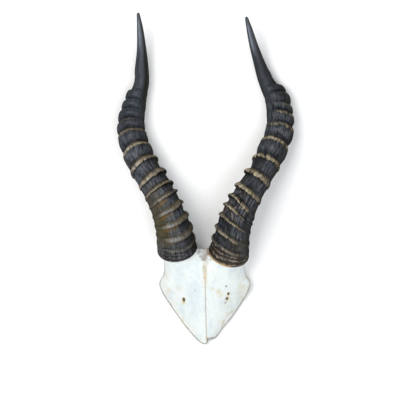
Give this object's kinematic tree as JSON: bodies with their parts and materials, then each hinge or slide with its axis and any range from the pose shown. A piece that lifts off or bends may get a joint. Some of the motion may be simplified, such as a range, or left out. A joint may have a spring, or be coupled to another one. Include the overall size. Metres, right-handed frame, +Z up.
{
  "type": "antelope skull plate with horns",
  "caption": "Flat-sawn antelope skull plate with lyre-shaped ringed horns, lying on its back.",
  "frame": {"origin": "on the ground, under the middle of the bounding box", "axes": "+Y runs from the nose end of the plate to the horn tips, +Z up out of the forehead, +X to the right as seen from above with the horn tips pointing away"},
  "size_m": [0.2306, 0.4314, 0.0755],
  "materials": {
    "bone": "dry, near-white bone with faint cream stains",
    "horn": "blue-black horn with tan ring crests and a satin gloss"
  },
  "bodies": {
    "root": {"skull_plate": "bone", "horn_left": "horn", "horn_right": "horn"}
  },
  "joints": []
}
